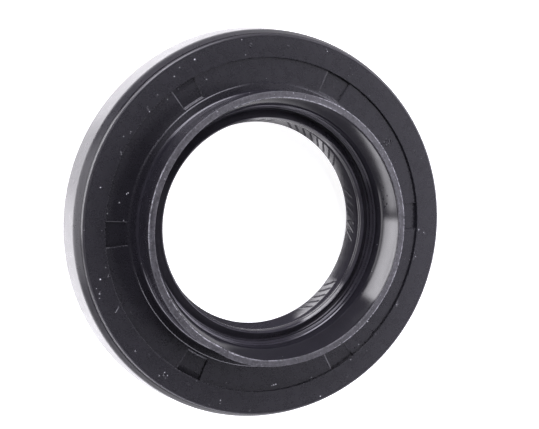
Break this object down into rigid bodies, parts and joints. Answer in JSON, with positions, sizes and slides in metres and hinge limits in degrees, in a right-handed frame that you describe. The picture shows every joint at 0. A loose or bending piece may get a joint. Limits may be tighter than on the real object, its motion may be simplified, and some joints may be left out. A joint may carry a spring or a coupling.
{
  "type": "radial shaft seal",
  "caption": "Rubber-covered radial shaft seal with an axial collar, an inner dust lip and a spring-loaded main lip, for a 35 mm shaft in a 65 mm bore.",
  "frame": {"origin": "centre of the oil-side (back) face, which the seal lies on", "axes": "+Z along the seal's axis towards the air side, where the collar stands; +X through the middle of one face pad, to within 2 degrees"},
  "size_m": [0.065, 0.065, 0.0155],
  "materials": {
    "black_rubber": "satin moulded rubber, cut matt on the collar's rim",
    "case_steel": "phosphated sheet steel, satin",
    "spring_steel": "drawn spring wire"
  },
  "bodies": {
    "root": {"rubber_body": "black_rubber", "steel_case": "case_steel", "garter_spring": "spring_steel"}
  },
  "joints": []
}
